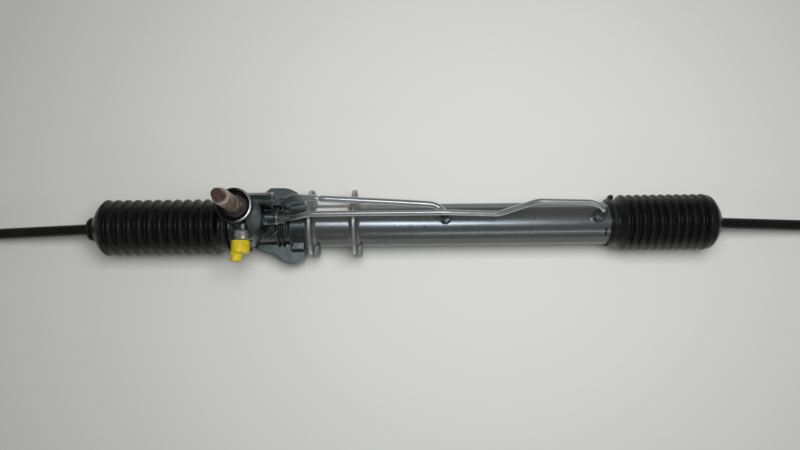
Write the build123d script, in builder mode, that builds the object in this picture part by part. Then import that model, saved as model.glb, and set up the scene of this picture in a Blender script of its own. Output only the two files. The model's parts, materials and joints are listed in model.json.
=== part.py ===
from build123d import *
import math
import os

# Power steering rack. Millimetres. X runs along the rack, Z up the pinion, and the origin is on the
# rack axis, in the middle of the tube seat between the two flanges.

# Rack bar and its teeth
RACK_RADIUS = 12.0
RACK_LEFT_END = -212.0
RACK_RIGHT_END = 373.0
MODULE = 1.8
PRESSURE_ANGLE = math.radians(20)
HELIX_ANGLE = math.radians(12)
BACKLASH = 0.16
RACK_SPACES_LEFT = 17
RACK_SPACES_RIGHT = 12

# Pinion, valve and input shaft
PINION_X = -101.0
PINION_TEETH = 8
PROFILE_SHIFT = 0.55
PINION_HALF_LENGTH = 12.0
PINION_TIP_RADIUS = 9.5
PINION_ROOT_RADIUS = 6.1
VALVE_RADIUS = 15.0
UPPER_BEARING_RADIUS = 13.0
LOWER_BEARING_RADIUS = 11.0
COVER_THREAD_RADIUS = 12.5
SPOOL_RADIUS = 9.3
SHAFT_RADIUS = 8.9
SERRATION_RADIUS = 8.7
SERRATION_START = 72.0
SHAFT_TOP = 126.0
BAR_RADIUS = 2.5

# Housing
TOWER_RADIUS = 19.0
TOWER_STEP = 27.5
PINION_CASE_RADIUS = 16.0
TOWER_TOP = 60.0
HOUSING_LEFT = -127.0
HOUSING_RIGHT = -29.6
CASE_RADIUS = 20.0
CASE_BORE = 14.0
COLLAR_RADIUS = 24.6
COLLAR_LEFT = -48.5
SPIGOT_RIGHT = -14.0
SEAT_LEFT = -118.2
LUG_TOP = -3.0
LUG_BOTTOM = -21.0
LOWER_LUG = (-47.5, -29.3)
LOWER_LUG_RADIUS = 14.0
UPPER_LUG = (-56.0, 28.0)
LUG_THREAD_RADIUS = 5.0
LUG_THREAD_DEPTH = 14.0
YOKE_X = -105.0
YOKE_RADIUS = 8.5
YOKE_BOSS_RADIUS = 10.8
FEED_PORT = (-95.5, 36.0)
RETURN_PORT_ANGLE = 137.0
RETURN_PORT_HEIGHT = 36.0
LINE_PORT_HEIGHT = 40.0
LINE_1_Y = 22.0
LINE_1_END = -61.6
LINE_2_Y = 3.7
LINE_2_END = -57.0

# Cylinder tube
TUBE_RADIUS = 24.0
TUBE_BORE = 21.3
TUBE_LEFT = -29.4
TUBE_RIGHT = 321.0
FLANGE_RADIUS = 38.0
FLANGE_OFFSET = 3.0
FLANGE_THICKNESS = 5.0
FLANGE_GAP = 44.0
UNION_1_X = 126.4
UNION_2_X = 297.0
UNION_TILT = 10.0
UNION_1_LEAN = -8.0

# Boots and tie rods
BALL_FROM_RACK_END = 29.0
BALL_RADIUS = 11.0
SEAT_RADIUS = 13.0
SOCKET_BODY_RADIUS = 17.0
ROD_DROOP = 6.4
ROD_YAW = 1.2
ROD_RADIUS = 6.2
ROD_LENGTH = 275.0
THREAD_LENGTH = 62.0
THREAD_RADIUS = 7.0
CLIP_START = 36.0
NECK_RADIUS = 12.0
CREST_RADIUS = 32.0
ROOT_RADIUS = 26.5
BOOT_WALL = 1.8
CUFF_LENGTH = 9.0

FIT = 0.05
PITCH_RADIUS = MODULE * PINION_TEETH / 2
BASE_RADIUS = PITCH_RADIUS * math.cos(PRESSURE_ANGLE)
TOOTH_PITCH = math.pi * MODULE
RACK_REFERENCE = 6.81
PINION_Y = RACK_REFERENCE + PITCH_RADIUS + PROFILE_SHIFT * MODULE
RACK_TIP = RACK_REFERENCE + 0.9 * MODULE
RACK_ROOT = PINION_Y - PINION_TIP_RADIUS - 0.35

os.makedirs("parts", exist_ok=True)


def cylinder_x(radius, low, high, y=0.0, z=0.0, mode=Mode.ADD):
    """Cylinder along X, from low to high."""
    with Locations(((low + high) / 2, y, z)):
        Cylinder(radius, high - low, rotation=(0, 90, 0), mode=mode)


def cylinder_y(radius, low, high, x=0.0, z=0.0, mode=Mode.ADD):
    """Cylinder along Y, from low to high."""
    with Locations((x, (low + high) / 2, z)):
        Cylinder(radius, high - low, rotation=(90, 0, 0), mode=mode)


def cylinder_z(radius, low, high, x=0.0, y=0.0, mode=Mode.ADD):
    """Cylinder along Z, from low to high."""
    with Locations((x, y, (low + high) / 2)):
        Cylinder(radius, high - low, mode=mode)


def pinion_cylinder(radius, low, high, mode=Mode.ADD):
    """Cylinder on the pinion axis."""
    cylinder_z(radius, low, high, PINION_X, PINION_Y, mode)


def hexagon_x(across_flats, low, high, y, z):
    """Hexagonal prism along X."""
    with BuildSketch(Plane(origin=(low, y, z), x_dir=(0, 1, 0), z_dir=(1, 0, 0))) as profile:
        RegularPolygon(across_flats / 2, 6, major_radius=False, rotation=18)
    extrude(profile.sketch, amount=high - low)


def turned_on(plane, radius, length, mode=Mode.ADD):
    """Cylinder standing on a plane, in the active part."""
    with BuildSketch(plane) as profile:
        Circle(radius)
    extrude(profile.sketch, amount=length, mode=mode)


def prism_on(plane, across_flats, length):
    """Hexagonal prism standing on a plane, in the active part."""
    with BuildSketch(plane) as profile:
        RegularPolygon(across_flats / 2, 6, major_radius=False)
    extrude(profile.sketch, amount=length)


def keep(builder, name):
    """Label a finished piece and write it."""
    builder.part.label = name
    export_step(builder.part, f"parts/{name}.step")


def involute(angle):
    return math.tan(angle) - angle


def pinion_tooth_half_angle(radius):
    """Half of a tooth's angular width at a radius on its involute."""
    thickness = MODULE * (math.pi / 2 + 2 * PROFILE_SHIFT * math.tan(PRESSURE_ANGLE))
    at_pitch = thickness / (2 * PITCH_RADIUS)
    return at_pitch + involute(PRESSURE_ANGLE) - involute(math.acos(BASE_RADIUS / radius))


def polar(radius, angle):
    return (radius * math.cos(angle), radius * math.sin(angle))


# ---------------------------------------------------------------- housing
return_angle = math.radians(RETURN_PORT_ANGLE)
return_plane = Plane(
    origin=(PINION_X, PINION_Y, RETURN_PORT_HEIGHT), z_dir=(math.cos(return_angle), math.sin(return_angle), 0)
)
with BuildPart() as pinion_housing:
    # The tower is full width above the boot's cuff and on the side away from it
    pinion_cylinder(TOWER_RADIUS, -10, TOWER_TOP)
    chamfer(pinion_housing.edges().filter_by(GeomType.CIRCLE).group_by(Axis.Z)[-1], 1.0)
    with Locations((SEAT_LEFT + 1.0 - 10, PINION_Y, -30 + TOWER_STEP / 2)):
        Box(20, 60, 60 + TOWER_STEP, mode=Mode.SUBTRACT)
    pinion_cylinder(PINION_CASE_RADIUS, -33, TOWER_STEP + 1)
    # Broad shoulder between the tower, the ports and the yoke
    with BuildSketch(Plane.XY.offset(-6)):
        with BuildLine():
            Polyline(
                (-112, -23.8), (-96, -23.8), (-87, -22.5), (-81, -18), (-75, -11), (-71.5, -1), (-72, 22),
                (-77, 29), (-90, 29), (-112, 24), close=True,
            )
        make_face()
    extrude(amount=31, taper=4)
    # It rises to the ports, clear of the feed port
    with BuildSketch(Plane.XY.offset(23)):
        with BuildLine():
            Polyline(
                (-90, -4), (-86.8, -19), (-85.2, -22.4), (-79, -16.5), (-73.2, -9), (-70.4, 0), (-71.6, 12),
                (-74.3, 20), (-78.6, 25.5), (-90, 24), close=True,
            )
        make_face()
    extrude(amount=26, taper=3)
    with Locations(Location((-65.5, -12, 12), (0, 0, 44))):
        Box(13, 1.8, 18)
    cylinder_x(CASE_RADIUS, HOUSING_LEFT, COLLAR_LEFT)
    cylinder_x(TUBE_RADIUS, HOUSING_LEFT, SEAT_LEFT)
    cylinder_x(COLLAR_RADIUS, COLLAR_LEFT, HOUSING_RIGHT)
    cylinder_x(TUBE_BORE - FIT, HOUSING_RIGHT - 1, SPIGOT_RIGHT)
    # Two ribs run round the case between the tower and the collar
    for rib in (-61.8, -56.7):
        cylinder_x(CASE_RADIUS + 2.6, rib - 1.1, rib + 1.1)
    # Lug plate on the underside, with a web between the two lugs
    with BuildSketch(Plane.XY.offset(LUG_BOTTOM)):
        with BuildLine():
            Polyline(
                (-97, -17), (-95.2, -19.9), (-87.5, -27), (-77.3, -30.4), (-70.3, -32), (-65.7, -35.2),
                (-61.7, -38.3), (-56.3, -41.4), (-36.5, -30), (-33.5, -24), (-33.5, 26), (-38, 34), (-44, 40.3),
                (-50, 43.6), (-57, 45.3), (-74, 45.5), (-79, 41.5), (-84, 31), (-95, 24), close=True,
            )
        make_face()
        with Locations(LOWER_LUG):
            Circle(LOWER_LUG_RADIUS)
    extrude(amount=LUG_TOP - LUG_BOTTOM)
    # Gusset between the lower lug and the collar
    with BuildSketch(Plane.XY.offset(LUG_TOP - 1)):
        Polygon((-42.2, -15), (-32.1, -15), (-32.1, -28.4), (-48, -28.4), align=None)
    extrude(amount=18)
    # Yoke boss opposite the pinion
    cylinder_y(YOKE_BOSS_RADIUS, -24.5, 0, YOKE_X)
    # Feed port boss and its root ring
    cylinder_y(8.5, -20.2, 5, *FEED_PORT)
    cylinder_y(9.9, -9.5, 5, *FEED_PORT)
    # Return port boss, behind the tower
    turned_on(return_plane, 7.6, 22.0)
    # The two line ports, side by side, face along the tube
    cylinder_x(9.6, PINION_X + 4, LINE_1_END, LINE_1_Y, LINE_PORT_HEIGHT)
    cylinder_x(7.7, PINION_X + 4, LINE_2_END, LINE_2_Y, LINE_PORT_HEIGHT)
    # Bores
    cylinder_x(CASE_BORE, HOUSING_LEFT - 1, SPIGOT_RIGHT + 1, mode=Mode.SUBTRACT)
    pinion_cylinder(10.2, -16, 16, mode=Mode.SUBTRACT)
    pinion_cylinder(UPPER_BEARING_RADIUS + FIT, 14.5, 30, mode=Mode.SUBTRACT)
    pinion_cylinder(VALVE_RADIUS + FIT, 28.5, TOWER_TOP + 1, mode=Mode.SUBTRACT)
    with Locations((PINION_X, PINION_Y, TOWER_TOP - 1.4)):
        Cone(VALVE_RADIUS + FIT, TOWER_RADIUS - 1.3, 3.0, mode=Mode.SUBTRACT)
    pinion_cylinder(LOWER_BEARING_RADIUS + FIT, -29.5, -15, mode=Mode.SUBTRACT)
    pinion_cylinder(COVER_THREAD_RADIUS + FIT, -40, -29.4, mode=Mode.SUBTRACT)
    cylinder_y(YOKE_RADIUS + FIT, -40, -5, YOKE_X, mode=Mode.SUBTRACT)
    cylinder_y(6.0, -21, -8, *FEED_PORT, mode=Mode.SUBTRACT)
    cylinder_y(3.0, -9, PINION_Y, *FEED_PORT, mode=Mode.SUBTRACT)
    turned_on(return_plane.offset(16), 4.6, 8.0, mode=Mode.SUBTRACT)
    turned_on(return_plane, 2.6, 17.0, mode=Mode.SUBTRACT)
    for line_y in (LINE_1_Y, LINE_2_Y):
        cylinder_x(5.05, -79, -50, line_y, LINE_PORT_HEIGHT, mode=Mode.SUBTRACT)
        cylinder_x(2.2, -95, -78, line_y, LINE_PORT_HEIGHT, mode=Mode.SUBTRACT)
    for lug_x, lug_y in (LOWER_LUG, UPPER_LUG):
        cylinder_z(
            LUG_THREAD_RADIUS, LUG_BOTTOM - 1, LUG_BOTTOM + LUG_THREAD_DEPTH, lug_x, lug_y, mode=Mode.SUBTRACT
        )
keep(pinion_housing, "pinion_housing")

with BuildPart() as end_cover:
    pinion_cylinder(PINION_CASE_RADIUS, -38, -33.0)
    pinion_cylinder(COVER_THREAD_RADIUS, -34, -30.6)
    with BuildSketch(Plane.XY.offset(-38.0)):
        with Locations((PINION_X, PINION_Y)):
            RegularPolygon(8, 6, major_radius=False)
    extrude(amount=3.5, mode=Mode.SUBTRACT)
    chamfer(end_cover.edges().filter_by(GeomType.CIRCLE).group_by(Axis.Z)[0], 1.0)
keep(end_cover, "end_cover")

# ---------------------------------------------------------------- cylinder tube
def union_plane(x, lean):
    """Plane at the rack axis whose normal is a cylinder port's axis; the port leaves the tube at x."""
    tilt, lean = math.radians(UNION_TILT), math.radians(lean)
    axis = Vector(math.sin(lean), math.sin(tilt) * math.cos(lean), math.cos(tilt) * math.cos(lean))
    return Plane(origin=(x - TUBE_RADIUS * math.tan(lean), 0, 0), z_dir=axis)


UNIONS = {1: union_plane(UNION_1_X, UNION_1_LEAN), 2: union_plane(UNION_2_X, 0)}

with BuildPart() as cylinder_tube:
    cylinder_x(TUBE_RADIUS, TUBE_LEFT, TUBE_RIGHT)
    chamfer(cylinder_tube.edges().filter_by(GeomType.CIRCLE).group_by(Axis.X)[-1], 0.8)
    cylinder_x(TUBE_BORE, TUBE_LEFT - 1, TUBE_RIGHT + 1, mode=Mode.SUBTRACT)
    for union in UNIONS.values():
        turned_on(union, 3.0, 30, mode=Mode.SUBTRACT)
keep(cylinder_tube, "cylinder_tube")

for name, flange_x in (("seat_flange_left", -FLANGE_GAP / 2 - FLANGE_THICKNESS), ("seat_flange_right", FLANGE_GAP / 2)):
    with BuildPart() as seat_flange:
        cylinder_x(FLANGE_RADIUS, flange_x, flange_x + FLANGE_THICKNESS, FLANGE_OFFSET)
        chamfer(seat_flange.edges().filter_by(GeomType.CIRCLE), 0.8)
        # Thick rounded foot on the side of the feed port
        with BuildSketch(Plane.XY.offset(-14)):
            with Locations((flange_x + 5.3, -26.5)):
                RectangleRounded(10.6, 17.0, 4.0)
        extrude(amount=21)
        cylinder_x(TUBE_RADIUS, flange_x - 10, flange_x + 20, mode=Mode.SUBTRACT)
    keep(seat_flange, name)

for number, union in UNIONS.items():
    with BuildPart() as cylinder_port:
        turned_on(union, 7.3, 33)
        turned_on(union, 3.0, 34, mode=Mode.SUBTRACT)
        cylinder_x(TUBE_RADIUS, union.origin.X - 20, union.origin.X + 20, mode=Mode.SUBTRACT)
    keep(cylinder_port, f"cylinder_port_{number}")

# ---------------------------------------------------------------- turn lines
LINES = {
    1: {
        "radius": 4.0,
        "route": [
            (-63, LINE_1_Y, 40), (-50, LINE_1_Y, 40), (-38, 23.2, 42.6), (-13, 23.3, 48.0), (70, 18.0, 49),
            (112, 15.0, 50.0), tuple((UNIONS[1] * Location((0, 0, 52.5))).position),
            tuple((UNIONS[1] * Location((0, 0, 33.3))).position),
        ],
        "bends": [14, 24, 22, 60, 22, 8.2],
    },
    2: {
        "radius": 3.25,
        "route": [
            (-58, LINE_2_Y, 40), (-42.5, LINE_2_Y, 40), (-25, 6.0, 50), (60, 5.6, 54.0), (127, 4.8, 58.8),
            (182, 3.4, 55.0), (225, 17.5, 49.5), (282, 15.6, 51.0),
            tuple((UNIONS[2] * Location((0, 0, 52))).position),
            tuple((UNIONS[2] * Location((0, 0, 33.3))).position),
        ],
        "bends": [13, 13, 60, 60, 22, 22, 18, 8.5],
    },
}
for number, line in LINES.items():
    with BuildPart() as turn_line:
        with BuildLine() as centre_line:
            FilletPolyline(*line["route"], radius=line["bends"])
        with BuildSketch(Plane(origin=centre_line.line @ 0, z_dir=centre_line.line % 0)):
            Circle(line["radius"])
        sweep(path=centre_line.line)
    keep(turn_line, f"turn_line_{number}")

for number, line_y, end in ((1, LINE_1_Y, LINE_1_END), (2, LINE_2_Y, LINE_2_END)):
    with BuildPart() as housing_union_nut:
        cylinder_x(5.0, end - 9, end + 0.5, line_y, LINE_PORT_HEIGHT)
        cylinder_x(6.6, end, end + 1.4, line_y, LINE_PORT_HEIGHT)
        hexagon_x(12.0, end + 1.4, end + 8.4, line_y, LINE_PORT_HEIGHT)
        cylinder_x(LINES[number]["radius"] + FIT, end - 12, end + 12, line_y, LINE_PORT_HEIGHT, mode=Mode.SUBTRACT)
    keep(housing_union_nut, f"housing_union_nut_{number}")

for number, union in UNIONS.items():
    with BuildPart() as cylinder_union_nut:
        prism_on(union.offset(33.05), 12.8, 7.2)
        turned_on(union.offset(33), LINES[number]["radius"] + FIT, 8, mode=Mode.SUBTRACT)
    keep(cylinder_union_nut, f"cylinder_union_nut_{number}")

# ---------------------------------------------------------------- port plugs
with BuildPart() as feed_port_plug:
    cylinder_y(5.9, -21, -10, *FEED_PORT)
    cylinder_y(10.2, -35, -20.3, FEED_PORT[0] - 2.8, FEED_PORT[1])
    chamfer(feed_port_plug.edges().filter_by(GeomType.CIRCLE).group_by(Axis.Y)[0], 1.0)
    cylinder_y(6.7, -43.6, -34, FEED_PORT[0] - 6.9, FEED_PORT[1] + 1.0)
keep(feed_port_plug, "feed_port_plug")

with BuildPart() as return_port_plug:
    turned_on(return_plane.offset(17.5), 4.5, 6.0)
    turned_on(return_plane.offset(22.05), 6.6, 2.4)
keep(return_port_plug, "return_port_plug")

# ---------------------------------------------------------------- rack bar
with BuildPart() as rack_bar:
    cylinder_x(RACK_RADIUS, RACK_LEFT_END, RACK_RIGHT_END)
    chamfer(rack_bar.edges().filter_by(GeomType.CIRCLE), 1.0)
    cylinder_x(7.0, RACK_LEFT_END - 12, RACK_LEFT_END + 1)
    cylinder_x(7.0, RACK_RIGHT_END - 1, RACK_RIGHT_END + 12)
    teeth_low = PINION_X - (RACK_SPACES_LEFT + 0.6) * TOOTH_PITCH
    teeth_high = PINION_X + (RACK_SPACES_RIGHT + 0.6) * TOOTH_PITCH
    with Locations(((teeth_low + teeth_high) / 2, RACK_TIP + 5, 0)):
        Box(teeth_high - teeth_low, 10, 40, mode=Mode.SUBTRACT)
    slope = math.tan(PRESSURE_ANGLE)
    half_reference = TOOTH_PITCH / 4 + BACKLASH / 2
    half_root = half_reference - slope * (RACK_REFERENCE - RACK_ROOT)
    half_mouth = half_reference + slope * (RACK_TIP + 1 - RACK_REFERENCE)
    tooth_line = Vector(math.tan(HELIX_ANGLE), 0, 1).normalized()
    cut_start = 14.0
    with BuildSketch(Plane.XY.offset(-cut_start)):
        for space in range(-RACK_SPACES_LEFT, RACK_SPACES_RIGHT + 1):
            with Locations((PINION_X + space * TOOTH_PITCH - cut_start * math.tan(HELIX_ANGLE), 0)):
                Polygon(
                    (-half_root, RACK_ROOT), (half_root, RACK_ROOT),
                    (half_mouth, RACK_TIP + 1), (-half_mouth, RACK_TIP + 1), align=None,
                )
    extrude(amount=2 * cut_start / math.cos(HELIX_ANGLE), dir=tooth_line, mode=Mode.SUBTRACT)
keep(rack_bar, "rack_bar")

with BuildPart() as piston:
    cylinder_x(TUBE_BORE - 0.35, 187.5, 205.5)
    cylinder_x(RACK_RADIUS, 187, 206, mode=Mode.SUBTRACT)
    cylinder_x(TUBE_BORE + 1, 194.5, 198.5, mode=Mode.SUBTRACT)
    cylinder_x(TUBE_BORE - 3, 194.5, 198.5)
    cylinder_x(RACK_RADIUS, 187, 206, mode=Mode.SUBTRACT)
keep(piston, "piston")

with BuildPart() as piston_ring:
    cylinder_x(TUBE_BORE - FIT, 194.6, 198.4)
    cylinder_x(TUBE_BORE - 3 + FIT, 194, 199, mode=Mode.SUBTRACT)
keep(piston_ring, "piston_ring")

# Bush, seals and rings that the rack slides through, each as (outer, inner, low, high)
RINGS = {
    "inner_seal_carrier": (TUBE_BORE - FIT, RACK_RADIUS + 0.3, 100.0, 111.5),
    "inner_rack_seal": (TUBE_BORE - FIT, RACK_RADIUS + FIT, 111.5, 118.0),
    "outer_rack_seal": (TUBE_BORE - FIT, RACK_RADIUS + FIT, 304.0, 310.0),
    "rack_bush": (TUBE_BORE - FIT, RACK_RADIUS + FIT, 310.0, 317.6),
    "bush_retaining_ring": (TUBE_BORE - FIT, TUBE_BORE - 4, 317.6, 319.2),
}
for name, (outer, inner, low, high) in RINGS.items():
    with BuildPart() as ring:
        cylinder_x(outer, low, high)
        cylinder_x(inner, low - 1, high + 1, mode=Mode.SUBTRACT)
    keep(ring, name)

# ---------------------------------------------------------------- pinion and valve
TWIST_PER_MM = math.tan(HELIX_ANGLE) / PITCH_RADIUS
with BuildPart() as pinion:
    with BuildSketch(Plane.XY.offset(-PINION_HALF_LENGTH)) as tooth_section:
        with Locations((PINION_X, PINION_Y)):
            Circle(PINION_ROOT_RADIUS)
        flank_start = BASE_RADIUS + 0.02
        flank_radii = [flank_start + (PINION_TIP_RADIUS - flank_start) * step / 4 for step in range(5)]
        inner_radius = PINION_ROOT_RADIUS - 0.4
        for tooth in range(PINION_TEETH):
            centre = -math.pi / 2 + 2 * math.pi * tooth / PINION_TEETH - PINION_HALF_LENGTH * TWIST_PER_MM
            root_half = pinion_tooth_half_angle(flank_start)
            tip_half = pinion_tooth_half_angle(PINION_TIP_RADIUS)
            with BuildLine(Location((PINION_X, PINION_Y, 0))):
                right_flank = Spline(*[polar(r, centre - pinion_tooth_half_angle(r)) for r in flank_radii])
                tip = Line(right_flank @ 1, polar(PINION_TIP_RADIUS, centre + tip_half))
                left_flank = Spline(
                    *[polar(r, centre + pinion_tooth_half_angle(r)) for r in reversed(flank_radii)]
                )
                left_root = Line(left_flank @ 1, polar(inner_radius, centre + root_half))
                bottom = Line(left_root @ 1, polar(inner_radius, centre - root_half))
                Line(bottom @ 1, right_flank @ 0)
            make_face()
    toothed_length = Solid.extrude_linear_with_rotation(
        tooth_section.sketch.faces()[0],
        center=(PINION_X, PINION_Y, -PINION_HALF_LENGTH),
        normal=(0, 0, 2 * PINION_HALF_LENGTH),
        angle=math.degrees(2 * PINION_HALF_LENGTH * TWIST_PER_MM),
    )
    add(toothed_length)
    pinion_cylinder(5.0, -24.5, -PINION_HALF_LENGTH)
    pinion_cylinder(4.5, -30.0, -24.0)
    pinion_cylinder(7.0, PINION_HALF_LENGTH, 25)
    pinion_cylinder(12.5, 24.5, 29.3)
    pinion_cylinder(BAR_RADIUS + FIT, 5, 30, mode=Mode.SUBTRACT)
keep(pinion, "pinion")

with BuildPart() as pinion_nut:
    with BuildSketch(Plane.XY.offset(-29.6)):
        with Locations((PINION_X, PINION_Y)):
            RegularPolygon(6.5, 6, major_radius=False)
            Circle(4.5 + FIT, mode=Mode.SUBTRACT)
    extrude(amount=5.0)
keep(pinion_nut, "pinion_nut")

# Bearings as (outer, inner, low, high)
BEARINGS = {
    "upper_bearing": (UPPER_BEARING_RADIUS, 7.0 + FIT, 14.5, 23.5),
    "lower_bearing": (LOWER_BEARING_RADIUS, 5.0 + FIT, -24.0, -15.0),
}
for name, (outer, inner, low, high) in BEARINGS.items():
    with BuildPart() as bearing:
        pinion_cylinder(outer, low, high)
        pinion_cylinder(inner + (outer - inner) * 0.65, high - 0.8, high + 1, mode=Mode.SUBTRACT)
        pinion_cylinder(inner + (outer - inner) * 0.35, high - 1, high)
        pinion_cylinder(inner, low - 1, high + 1, mode=Mode.SUBTRACT)
    keep(bearing, name)

SLEEVE_LOW = 29.3
SLEEVE_HIGH = 50.0
RING_HEIGHTS = (31.0, 36.7, 42.4, 48.1)
with BuildPart() as valve_sleeve:
    pinion_cylinder(VALVE_RADIUS - 0.4, SLEEVE_LOW, SLEEVE_HIGH)
    for height in RING_HEIGHTS:
        pinion_cylinder(VALVE_RADIUS + 1, height - 0.9, height + 0.9, mode=Mode.SUBTRACT)
        pinion_cylinder(VALVE_RADIUS - 1.6, height - 1, height + 1)
    pinion_cylinder(SPOOL_RADIUS + FIT, SLEEVE_LOW - 1, SLEEVE_HIGH + 1, mode=Mode.SUBTRACT)
    for height in (33.85, 39.55, 45.25):
        cylinder_x(1.1, PINION_X - 20, PINION_X + 20, PINION_Y, height, mode=Mode.SUBTRACT)
keep(valve_sleeve, "valve_sleeve")

with BuildPart() as sleeve_rings:
    for height in RING_HEIGHTS:
        with BuildSketch(Plane.XY.offset(height - 0.8)):
            with Locations((PINION_X, PINION_Y)):
                Circle(VALVE_RADIUS)
                Circle(VALVE_RADIUS - 1.55, mode=Mode.SUBTRACT)
        extrude(amount=1.6)
keep(sleeve_rings, "sleeve_rings")

with BuildPart() as input_shaft:
    pinion_cylinder(SPOOL_RADIUS, 29.7, SLEEVE_HIGH + 0.2)
    pinion_cylinder(SHAFT_RADIUS, SLEEVE_HIGH, SERRATION_START)
    pinion_cylinder(SERRATION_RADIUS, SERRATION_START, 113)
    chamfer(input_shaft.edges().filter_by(GeomType.CIRCLE).group_by(Axis.Z)[-1], 1.8)
    pinion_cylinder(5.8, 112, SHAFT_TOP)
    chamfer(input_shaft.edges().filter_by(GeomType.CIRCLE).group_by(Axis.Z)[-1], 0.7)
    pinion_cylinder(BAR_RADIUS + FIT, 29, 111, mode=Mode.SUBTRACT)
    cylinder_x(1.5 + FIT, PINION_X - 10, PINION_X + 10, PINION_Y, 66, mode=Mode.SUBTRACT)
keep(input_shaft, "input_shaft")

with BuildPart() as torsion_bar:
    pinion_cylinder(BAR_RADIUS, 6, 110)
    cylinder_x(1.5 + FIT, PINION_X - 10, PINION_X + 10, PINION_Y, 66, mode=Mode.SUBTRACT)
keep(torsion_bar, "torsion_bar")

with BuildPart() as torsion_bar_pin:
    cylinder_x(1.5, PINION_X - 8.2, PINION_X + 8.2, PINION_Y, 66)
keep(torsion_bar_pin, "torsion_bar_pin")

# The carrier's dished top runs on from the housing's rim down to the seal
with BuildPart() as seal_carrier:
    pinion_cylinder(VALVE_RADIUS, 50.4, 57.1)
    with Locations((PINION_X, PINION_Y, 55.4)):
        Cone(11.8 + FIT, VALVE_RADIUS + 0.2, 3.6, mode=Mode.SUBTRACT)
    pinion_cylinder(11.8, 50, 58, mode=Mode.SUBTRACT)
keep(seal_carrier, "seal_carrier")

with BuildPart() as input_shaft_seal:
    pinion_cylinder(11.8 - FIT, 50.6, 53.4)
    pinion_cylinder(SHAFT_RADIUS + FIT, 50, 56, mode=Mode.SUBTRACT)
keep(input_shaft_seal, "input_shaft_seal")

# ---------------------------------------------------------------- rack support
with BuildPart() as support_yoke:
    cylinder_y(YOKE_RADIUS, -19.3, -6, YOKE_X)
    cylinder_x(RACK_RADIUS + FIT, YOKE_X - 20, YOKE_X + 20, mode=Mode.SUBTRACT)
keep(support_yoke, "support_yoke")

with BuildPart() as yoke_spring:
    with BuildSketch(Plane.XY):
        with Locations((YOKE_X, 0)):
            Polygon((4.2, -19.3), (8.2, -20.0), (8.2, -20.6), (4.2, -19.9), align=None)
            Polygon((4.2, -21.6), (8.2, -20.9), (8.2, -20.3), (4.2, -21.0), align=None)
    revolve(axis=Axis((YOKE_X, 0, 0), (0, 1, 0)))
keep(yoke_spring, "yoke_spring")

yoke_face = Plane(origin=(YOKE_X, -29.4, 0), x_dir=(0, 0, 1), z_dir=(0, 1, 0))
with BuildPart() as yoke_plug:
    cylinder_y(YOKE_RADIUS, -29.4, -21.7, YOKE_X)
    with BuildSketch(yoke_face):
        RegularPolygon(4.0, 6, major_radius=False)
    extrude(amount=3.0, mode=Mode.SUBTRACT)
keep(yoke_plug, "yoke_plug")

with BuildPart() as yoke_locknut:
    prism_on(yoke_face.offset(1.2), 20.0, 3.6)
    cylinder_y(YOKE_RADIUS + FIT, -35, -20, YOKE_X, mode=Mode.SUBTRACT)
keep(yoke_locknut, "yoke_locknut")

# ---------------------------------------------------------------- joints, tie rods and boots
DROOP = math.radians(ROD_DROOP)
YAW = math.radians(ROD_YAW)
SIDES = {
    "left": {
        "sign": -1, "rack_end": RACK_LEFT_END, "cuff": HOUSING_LEFT, "first": -132.9, "last": -258.3, "crests": 12,
        "neck_end": 44.5, "neck_chamfer": 4.0,
        "dome": [(6.2, 29.9), (10.8, 25.7), (14.3, 20.1), (16.2, NECK_RADIUS - 2)],
    },
    "right": {
        "sign": 1, "rack_end": RACK_RIGHT_END, "cuff": TUBE_RIGHT, "first": 329.1, "last": 420.9, "crests": 11,
        "neck_end": 46.0, "neck_chamfer": 1.0,
        "dome": [(3.6, 31.0), (9.1, 30.1), (13.8, 27.8), (18.4, 23.9), (22.5, 16.8), (23.8, NECK_RADIUS - 2)],
    },
}


def span(start, end):
    """Two X positions in rising order."""
    return min(start, end), max(start, end)


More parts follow.
